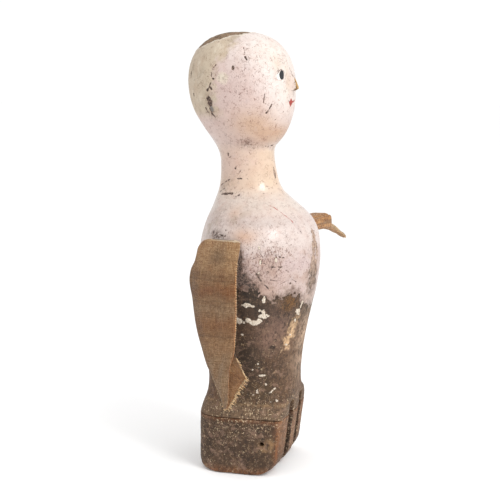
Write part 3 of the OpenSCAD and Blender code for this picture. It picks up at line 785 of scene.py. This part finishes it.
def through(table, at):
    """Smooth curves through a table whose first column is the distance along the sleeve."""
    table = np.array(table, float)
    x, out = table[:, 0], []
    for col in table[:, 1:].T:
        slopes = np.gradient(col, x)
        i = np.clip(np.searchsorted(x, at, side="right") - 1, 0, len(x) - 2)
        h = x[i + 1] - x[i]
        u = np.clip((at - x[i]) / h, 0, 1)
        out.append((2 * u ** 3 - 3 * u ** 2 + 1) * col[i] + (u ** 3 - 2 * u ** 2 + u) * h * slopes[i]
                   + (3 * u ** 2 - 2 * u ** 3) * col[i + 1] + (u ** 3 - u ** 2) * h * slopes[i + 1])
    return out


def skin_x(y, z, side):
    """How far out the torso's skin is at y, z, in mm."""
    found = np.zeros(len(y))
    for k in range(len(y)):
        hit = body_tree.ray_cast(Vector((side * 0.1, y[k] * MM, z[k] * MM)), Vector((-side, 0, 0)))[0]
        found[k] = abs(hit.x) / MM if hit is not None and hit.x * side > 0 else 0.0
    return found


def shell(name, mid, out, rows, slit, uv, fields, colours, material):
    """A tube of cloth from rows of points, open along its first column from row slit on. mid is the
    middle of the cloth in mm, out its outward normals, and rows the first and last row to make."""
    first, last = rows
    n = mid.shape[1]
    span = last - first + 1
    co = np.concatenate([(mid + out * CLOTH / 2)[first:last + 1].reshape(-1, 3),
                         (mid - out * CLOTH / 2)[first:last + 1].reshape(-1, 3)])
    half = span * n
    faces = []
    for i in range(span - 1):
        for j in range(n if first + i < slit else n - 1):
            a, b = i * n + j, i * n + (j + 1) % n
            faces.append((a, b, b + n, a + n))
            faces.append((half + a, half + a + n, half + b + n, half + b))
        if first + i >= slit:
            for j, flip in ((0, False), (n - 1, True)):
                a = i * n + j
                q = (a, a + n, half + a + n, half + a)
                faces.append(q[::-1] if flip else q)
    for i, flip in ((0, True), (span - 1, False)):
        for j in range(n if first + i < slit or (flip and first + i <= slit) else n - 1):
            a, b = i * n + j, i * n + (j + 1) % n
            q = (a, b, half + b, half + a)
            faces.append(q[::-1] if flip else q)

    def pick(values, inside=None):
        v = values[first:last + 1].reshape(half, -1)
        w = (values if inside is None else inside)[first:last + 1].reshape(half, -1)
        return np.concatenate([v, w])
    normals = pick(out, -out)
    return piece(name, co * MM, faces, normals, {k: pick(*v)[:, 0] for k, v in fields.items()},
                 {k: pick(*v) for k, v in colours.items()}, pick(uv) * MM, material)


def grid_normals(mid, slit):
    rows, n = mid.shape[:2]
    quads = np.array([(i * n + j, i * n + (j + 1) % n, (i + 1) * n + (j + 1) % n, (i + 1) * n + j)
                      for i in range(rows - 1) for j in range(n if i < slit else n - 1)])
    return vertex_normals(mid.reshape(-1, 3), quads).reshape(mid.shape)


def tube_mesh(paths, radius, sides=5):
    """Points and faces of thin round threads along paths of points."""
    co, faces = [], []
    for path in paths:
        path = np.array(path, float)
        along = np.gradient(path, axis=0)
        along /= np.maximum(np.linalg.norm(along, axis=1), 1e-9)[:, None]
        ref = np.where(np.abs(along[:, :1]) < 0.8, [[1.0, 0, 0]], [[0, 1.0, 0]])
        a = np.cross(along, ref)
        a /= np.linalg.norm(a, axis=1)[:, None]
        b = np.cross(along, a)
        start = sum(len(c) for c in co)
        taper = np.ones(len(path))
        taper[-1] = 0.45
        for k in range(len(path)):
            t = np.arange(sides) * 2 * np.pi / sides
            co.append(path[k] + radius * taper[k] * (np.cos(t)[:, None] * a[k] + np.sin(t)[:, None] * b[k]))
        for k in range(len(path) - 1):
            for s in range(sides):
                i, j = start + k * sides + s, start + k * sides + (s + 1) % sides
                faces.append((i, j, j + sides, i + sides))
        faces.append(tuple(start + s for s in range(sides))[::-1])
        faces.append(tuple(start + (len(path) - 1) * sides + s for s in range(sides)))
    return np.concatenate(co), faces


linen_mat, fibre_mat = old_linen("linen"), thread_fibre("linen_thread")
COLS = 120
around = 2 * np.pi * (np.arange(COLS) + 0.5) / COLS
share = (1 - np.cos(around)) / 2            # 0 at the front edge, 1 at the back fold
bulge = np.sign(np.sin(around)) * np.abs(np.sin(around)) ** 0.6
outer = np.sin(around) > 0

# right sleeve: distance below the fold, outer layer's front edge, inner layer's front edge,
# back fold, half thickness, offset outwards; front to back in mm on Y
RIGHT = [(-8, 0, 0, 23, 1.0, 0), (-7, -3.2, -3.2, 28, 1.0, 0), (-4, -4.0, -4.0, 33, 1.0, 0),
         (0, -3.8, -3.8, 36.2, 1.2, 0),
         (6, -2.8, -2.8, 38.0, 1.7, 0.2), (12, -1.8, -1.8, 39.4, 2.2, 0.4), (20, -1.2, -1.2, 43.2, 2.6, 0.7),
         (27, -1.0, -1.0, 44.4, 3.0, 0.9), (45, -1.2, -1.2, 42.0, 3.2, 1.2), (62, -1.0, -1.0, 39.4, 3.2, 1.0),
         (80, 0.2, 0.2, 35.0, 3.0, 0.6), (92, 1.0, 1.0, 31.2, 2.6, 0.2), (98, 2.4, -1.4, 29.2, 2.6, 0.2),
         (105, 4.4, -5.0, 26.6, 2.8, 0.3), (110, 5.0, -7.2, 24.0, 2.9, 0.4), (115, 5.3, -8.9, 21.4, 3.0, 0.5),
         (121, 5.6, -5.4, 18.6, 2.8, 0.5), (128, 5.9, -1.6, 15.6, 2.4, 0.4), (136, 6.5, 2.6, 12.8, 1.9, 0.3),
         (141, 7.6, 5.6, 11.4, 1.4, 0.2), (144, 8.8, 7.8, 10.6, 0.9, 0)]
s_row = np.arange(-8, 144.01, 1.0)
front_o, front_i, back_y, thick, lift = through(RIGHT, s_row)
S, P = np.meshgrid(s_row, share, indexing="ij")
front = np.where(outer[None, :], front_o[:, None], front_i[:, None])
Y = front + (back_y[:, None] - front) * P
torn = ease(S, TORN_FROM, 108)
coarse = np.stack([Y.ravel(), S.ravel(), (np.zeros_like(S) + np.where(outer, 0, 60)).ravel()], 1) * MM
folds = (noise(coarse, 26, 21, 2, (0.6, 1.8, 1)) * 0.9).reshape(S.shape)
small = (noise(coarse, 7, 22, 3) * 0.22).reshape(S.shape)
loose = ease(S, -1, 16)
free = np.where(outer, 1, 0.4)[None, :]
B = bulge[None, :] * thick[:, None] + (folds * loose + small) * free
B += torn * (1 - P) ** 2 * np.where(outer[None, :], 1.6, -2.4)
# creases that run from the elbow fold down to the flap, and a soft ridge behind the back fold
B += 0.9 * ease(S, 80, 100) * np.sin(0.42 * (Y - 0.35 * (S - 98))) * np.exp(-((P - 0.45) / 0.35) ** 2) * free
B += 0.6 * ease(S, 8, 30) * (1 - ease(S, 60, 90)) * np.exp(-((P - 0.8) / 0.1) ** 2) * free
# torn edges wander
fray = (noise(coarse, 3.2, 23, 3)).reshape(S.shape)
Y += np.where(outer[None, :], 0.35, 0.9) * fray * torn * np.exp(-(P / 0.12) ** 2)
Zr = HINGE[2] - S
flat_y = np.clip(Y, -12, 46)
top_z = np.minimum(Zr, BAND_TOP)
skin_here = skin_x(flat_y.ravel(), top_z.ravel(), -1).reshape(S.shape)
shoulder = skin_x(flat_y.ravel(), np.full(S.size, HINGE[2]), -1).reshape(S.shape)
hung = HINGE[0] + lift[:, None] - 0.3 * np.clip(61.5 - shoulder, 0, 30) * (1 - 0.4 * ease(S, 40, 120))
flared = np.maximum(skin_here, 61.2 - 0.3 * np.clip(Y - 8, 0, 60))   # its back corner stands off the shoulder
snug = flared + 1.7 + thick[:, None] - 0.8 * ease(S, 0, 8)
g = ease(S, 0, 34)
X = (1 - g) * snug + g * hung + B
X = np.maximum(X, skin_here + 0.6 + np.where(outer, thick[:, None] * 0.9, 0.0))
mid_r = np.stack([-X, Y, Zr], -1)
slit_r = int(np.argmax(s_row >= TORN_FROM))
out_r = grid_normals(mid_r, slit_r)
flip_r = bool(out_r[40, outer, 0].sum() > 0)
if flip_r:
    out_r = -out_r

# colour of the cloth: tan at the top, rusty and dark bands across, greyer at the elbow
n1 = noise(coarse, 16, 24, 4).reshape(S.shape)
n2 = noise(coarse, 9, 25, 4, (3.5, 0.35, 1)).reshape(S.shape)


def dye(*layers):
    return coat(np.zeros(S.shape + (3,)) + srgb(186, 151, 116), *layers) * LINEN_SHADE


def smeared():
    """Field of the paint that runs over onto the band's top edge."""
    return np.where(S < 1, 0.5 - np.abs(S + BAND_ABOVE) * 0.45, -2.0) + 0.8 * n1


def band(at, width):
    return np.exp(-((S - at - 1.5 * n1) / width) ** 2)


cloth_r = dye(((222, 186, 146), 0.9 * (1 - ease(S, 0, 30))),
              ((150, 126, 102), 0.7 * np.exp(-((S - 7) / 9) ** 2 - ((P - 0.45) / 0.2) ** 2)),
              ((142, 110, 84), 0.7 * band(38, 7) + 0.5 * band(70, 9) + 0.5 * band(24, 2)),
              ((178, 122, 80), 0.3 * band(36, 5) * (P < 0.75) + 0.35 * band(66, 9) + 0.3 * ease(n1, 0.1, 0.7)),
              ((120, 92, 70), 0.6 * band(27.5, 0.8) + 0.6 * band(47, 0.7) + 0.5 * band(51, 0.6)
               + 0.5 * band(78, 0.8)),
              ((180, 156, 130), 0.6 * band(55, 7) + 0.7 * ease(S, 86, 104)),
              ((150, 118, 88), 0.35 * ease(n2, 0.1, 0.8)),
              ((140, 112, 88), 0.35 * ease(P, 0.8, 1.0) * ease(S, 4, 12)),
              ((226, 204, 164), 0.8 * ease(P, 0.9, 0.98) * ease(S, 108, 120)),
              ((232, 164, 96), 0.95 * ease(-P, -0.012, 0.0) * ease(S, 14, 20) * outer[None, :]))
lining_r = dye(((204, 160, 120), 0.9), ((150, 110, 80), 0.5 * ease(n1, 0.1, 0.7)))
smear_r = smeared()
uv_r = np.stack([np.where(outer[None, :], Y, 2 * back_y[:, None] - Y + 6), S], -1)
split_r = int(np.argmax(s_row >= RIGHT_CUT))


def linen_piece(name, mid, out, rows, slit, uv, smear, cloth, lining, flip):
    if flip:
        mid, out, uv, smear, cloth, lining = (v[:, ::-1] for v in (mid, out, uv, smear, cloth, lining))
    ob = shell(name, mid, out, rows, slit, uv, {"smear": (smear, smear + ABSENT)},
               {"tint": (cloth, lining)}, linen_mat)
    return ob


right = (slit_r, uv_r, smear_r, cloth_r, lining_r, flip_r)
right_top = linen_piece("right_sleeve_cloth", mid_r, out_r, (0, split_r), *right)
right_end = linen_piece("right_sleeve_cuff", mid_r, out_r, (split_r, len(s_row) - 1), *right)


def thread_piece(name, body, paths, radius, sides=5):
    """Threads along the paths, which ride rigidly on a body."""
    co, faces = tube_mesh(paths, radius, sides)
    ob = piece(name, co * MM, faces, material=fibre_mat)
    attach(ob, body)
    return ob


# overcast stitches down the front edge, and frayed threads along the torn one
edge = mid_r[:, [0, -1]].mean(1)
out_edge, in_edge = mid_r[:, 3], mid_r[:, -4]
loops = []
for s in np.arange(13, 88, 2.3):
    i = int(s + BAND_ABOVE)
    tip = edge[i] + [0, -0.75, 0]
    loops.append([out_edge[i] + [-0.55, 0.9, 0.9], (out_edge[i] + tip) / 2 + [-0.62, -0.1, 0.5],
                  tip + [0, -0.1, 0],
                  (in_edge[i] + tip) / 2 + [0.6, -0.1, -0.5], in_edge[i] + [0.5, 0.8, -0.8]])
seam = thread_piece("right_sleeve_seam", "right_sleeve", loops, STITCH)


def frays(starts, directions, lengths, droop=0.6):
    paths = []
    for p, d, l in zip(starts, directions, lengths):
        d = np.array(d) / np.linalg.norm(d)
        curl = rng.normal(0, 0.35, 3)
        pts = [p - d * 0.8]
        for _ in range(4):
            d = d + curl * 0.3 + [0, 0, -0.16 * droop]
            d /= np.linalg.norm(d)
            pts.append(pts[-1] + d * l / 4)
        paths.append(pts)
    return paths


starts, ways, sizes = [], [], []
for i in range(slit_r + 4, len(s_row)):
    for _ in range(2):
        starts.append(mid_r[i, -1] + rng.normal(0, 0.15, 3))
        ways.append([rng.normal(0, 0.3), -1.0, rng.normal(-0.3, 0.5)])
        sizes.append(rng.uniform(1.0, 4.2) * (1.3 if s_row[i] > 112 else 0.8))
for _ in range(26):
    j = rng.integers(0, COLS)
    starts.append(mid_r[-1, j])
    ways.append([rng.normal(0, 0.3), rng.normal(0, 0.5), -1])
    sizes.append(rng.uniform(1.0, 2.6))
for _ in range(12):
    i = rng.integers(slit_r + 24, len(s_row) - 3)
    starts.append(mid_r[i, int(COLS * 0.5) + rng.integers(-3, 3)])
    ways.append([-0.4, 0.8, -0.5])
    sizes.append(rng.uniform(1.0, 3.0))
fringe = thread_piece("right_sleeve_frays", "right_sleeve_end", frays(starts, ways, sizes), FRAY, 4)

# left sleeve: distance along it, offset to the back, half width, half thickness, offset upwards
LEFT = [(-8, 12.5, 9, 1.0, 0), (-6.5, 12.5, 14.5, 1.0, 0), (-4, 13.2, 17.4, 1.0, 0), (0, 15.2, 18.6, 1.1, 0),
        (4, 15.4, 18.6, 1.6, -0.4), (14, 16, 18.4, 2.6, -2.0), (32, 17, 17.4, 3.9, -3.4),
        (52, 17, 15.6, 5.4, -3.2),
        (70, 16.4, 13.6, 7.0, -2.4), (82, 15.6, 12.2, 7.8, -1.7), (86.5, 15.4, 11.6, 7.7, -1.8),
        (89, 15.2, 9.4, 5.8, -4.4),
        (93, 15.0, 7.0, 4.3, -6.8), (98, 14.8, 4.9, 3.1, -9.4), (106, 15.0, 3.0, 2.3, -13.4),
        (116, 15.8, 2.2, 1.8, -19.0),
        (122, 16.4, 1.9, 1.6, -22.6), (124.5, 16.6, 1.2, 1.2, -24.2)]
u_row = np.arange(-8, 124.01, 1.0)
c_y, half_w, half_t, up = through(LEFT, u_row)
S, A = np.meshgrid(u_row, around, indexing="ij")
P = (1 - np.cos(A)) / 2
square = ease(S, 50, 84) * (1 - ease(S, 86, 94))
power = 0.6 - 0.22 * square
ct, st = np.cos(A), np.sin(A)
twist = ease(S, 84, 100)
ribs = 1 + twist * (0.16 * np.sin(3 * A + S / 5.5) + 0.08 * np.sin(5 * A - S / 4))
Yl = c_y[:, None] - half_w[:, None] * np.sign(ct) * np.abs(ct) ** (1 - 0.35 * square) * ribs
keys = np.stack([Yl.ravel(), S.ravel(), (st > 0).ravel() * 60.0], 1) * MM
folds = (noise(keys, 22, 31, 2, (0.7, 1.5, 1)) * 0.9).reshape(S.shape) * ease(S, 2, 20) * (1 - 0.7 * twist)
Bl = half_t[:, None] * np.sign(st) * np.abs(st) ** power * ribs + folds * 0.9
Bl += (noise(keys, 6, 32, 3) * 0.22).reshape(S.shape)
# a long crease runs from the top of the squared end into the tail
Bl -= 1.3 * ease(S, 48, 84) * (1 - twist) * np.exp(-((P - 0.16 - (86 - S) / 200) / 0.07) ** 2) * (st > 0)
Bl += up[:, None]
tilt = math.radians(3)
reach = np.clip(S, 0, None)
Yt = Yl - reach * math.tan(math.radians(27))
band_z = np.minimum(HINGE[2] - np.minimum(S, 0), BAND_TOP)
skin_l = skin_x(np.clip(Yl, -12, 46).ravel(), band_z.ravel(), 1).reshape(S.shape)
flat_x = HINGE[0] + reach * math.cos(tilt) - math.sin(tilt) * Bl
rise = ease(S, -2.5, 4)
gather = ease(S, 0, 40)
start_x = skin_l + 2.4
along_x = start_x + (flat_x - HINGE[0]) + (HINGE[0] - start_x) * gather
Xl = (1 - rise) * (skin_l + 2.7 + Bl) + rise * along_x
flat_z = HINGE[2] + 0.2 + Bl * math.cos(tilt) + reach * math.sin(tilt)
Zl = (1 - rise) * (HINGE[2] - np.clip(S, -8, 1.0)) + rise * flat_z
Xl = np.maximum(Xl, skin_l + 0.6)
mid_l = np.stack([Xl, Yt, Zl], -1)
slit_l = len(u_row)                         # the left tube is closed all the way
out_l = grid_normals(mid_l, slit_l)
flip_l = bool(out_l[60, int(COLS * 0.25), 2] < 0)
if flip_l:
    out_l = -out_l
n1 = noise(keys, 14, 33, 4).reshape(S.shape)
n2 = noise(keys, 8, 34, 4, (2.5, 0.5, 1)).reshape(S.shape)
cloth_l = dye(((230, 178, 124), 0.85), ((240, 172, 108), 0.35 * ease(n1, 0, 0.7)),
              ((200, 154, 108), 0.25 * ease(n2, 0.1, 0.8)),
              ((244, 220, 182), 0.8 * ease(S, 84, 96)), ((196, 150, 106), 0.5 * (1 - ease(S, 6, 26))),
              ((224, 170, 116), 0.6 * (st < -0.2)))
lining_l = dye(((128, 92, 60), 0.9))
smear_l = smeared()
uv_l = np.stack([np.where(st > 0, Yl, 70 - Yl), S], -1)
split_l = int(np.argmax(u_row >= LEFT_CUT))
left = (slit_l, uv_l, smear_l, cloth_l, lining_l, flip_l)
left_top = linen_piece("left_sleeve_cloth", mid_l, out_l, (0, split_l), *left)
left_end = linen_piece("left_sleeve_cuff", mid_l, out_l, (split_l, len(u_row) - 1), *left)
starts = [mid_l[-1, rng.integers(0, COLS)] for _ in range(30)]
ways = [[0.8 + rng.normal(0, 0.3), -0.4 + rng.normal(0, 0.3), -0.6] for _ in starts]
left_frays = thread_piece("left_sleeve_frays", "left_sleeve_end",
                          frays(starts, ways, rng.uniform(1.0, 3.0, 30)), FINE_FRAY, 4)

for ob, nodes in ((right_top, ("right_sleeve_band", "right_sleeve_upper")), (right_end, ("right_sleeve_tail",)),
                  (left_top, ("left_sleeve_band", "left_sleeve_upper")), (left_end, ("left_sleeve_tail",))):
    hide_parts(*nodes)
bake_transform(right_top)
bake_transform(right_end)
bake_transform(left_top)
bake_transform(left_end)

# ---------------------------------------------------------------- setting
CAMERA_BEARING, CAMERA_DOWN = -74, 7.9      # in degrees
CAMERA_AWAY, CAMERA_ASIDE, CAMERA_UP = 1.036, -0.00466, 0.3439
FLOOR_HALF, FLOOR_Z, FLOOR_GLOW = 40.0, -0.0002, 0.07
KEY_POWER = 8.0


def area_light(name, place, aim, size, power, colour=(1, 1, 1)):
    data = bpy.data.lights.new(name, "AREA")
    data.shape, data.size, data.size_y, data.energy, data.color = "RECTANGLE", size[0], size[1], power, colour
    ob = bpy.data.objects.new(name, data)
    bpy.context.scene.collection.objects.link(ob)
    ob.location = place
    ob.rotation_euler = (Vector(aim) - Vector(place)).to_track_quat("-Z", "Y").to_euler()


def plain(name, colour):
    t = Tree(name)
    return t.finish(Base_Color=colour, Roughness=0.9, Specular_IOR_Level=0.1)


def make_stage():
    floor = bpy.data.meshes.new("floor")
    corners = ((-1, -1), (1, -1), (1, 1), (-1, 1))
    floor.from_pydata([(x * FLOOR_HALF, y * FLOOR_HALF, FLOOR_Z) for x, y in corners], [], [(0, 1, 2, 3)])
    pale = plain("pale_floor", (0.96, 0.96, 0.96))
    shader = pale.node_tree.nodes["Principled BSDF"]
    shader.inputs["Emission Color"].default_value = (1, 1, 1, 1)
    shader.inputs["Emission Strength"].default_value = FLOOR_GLOW
    floor.materials.append(pale)
    ob = bpy.data.objects.new("floor", floor)
    bpy.context.scene.collection.objects.link(ob)


turn = math.radians(CAMERA_BEARING)
back = Vector((math.sin(turn), -math.cos(turn), 0))
aside = Vector((math.cos(turn), math.sin(turn), 0))
middle_of = Vector((0, 0, 0.22))
area_light("key", middle_of + back * 0.8 + aside * 0.62 + Vector((0, 0, 0.78)), middle_of, (0.4, 0.55),
           KEY_POWER)
world = bpy.data.worlds.new("studio")
world.use_nodes = True
tree = world.node_tree
background = tree.nodes["Background"]
background.inputs["Color"].default_value = (1, 1, 1, 1)
where = tree.nodes.new("ShaderNodeTexCoord")
side = tree.nodes.new("ShaderNodeVectorMath")
side.operation = "DOT_PRODUCT"
side.inputs[1].default_value = aside
tree.links.new(where.outputs["Generated"], side.inputs[0])
shade = tree.nodes.new("ShaderNodeMapRange")
shade.interpolation_type = "SMOOTHSTEP"
for k, v in ((1, -1.0), (2, -0.2), (3, 0.8), (4, 1.04)):
    shade.inputs[k].default_value = v
tree.links.new(side.outputs["Value"], shade.inputs[0])
tree.links.new(shade.outputs[0], background.inputs["Strength"])
bpy.context.scene.world = world
bpy.context.scene.view_settings.view_transform = "Standard"
make_stage()

camera = bpy.data.objects.new("camera", bpy.data.cameras.new("camera"))
camera.data.sensor_width, camera.data.lens = 36, 81.1
camera.location = back * CAMERA_AWAY + aside * CAMERA_ASIDE + Vector((0, 0, CAMERA_UP))
camera.rotation_euler = (math.radians(90 - CAMERA_DOWN), 0, turn)
bpy.context.scene.collection.objects.link(camera)
bpy.context.scene.camera = camera

for name, make in (("neck_dowel", joinery_wood), ("hip_dowels", joinery_wood),
                   ("right_sleeve_tacks", rusty_iron), ("left_sleeve_tacks", rusty_iron)):
    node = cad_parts[name]
    made = make("iron" if make is rusty_iron else "joinery_wood")
    for held in node.material_slots:
        held.material = made
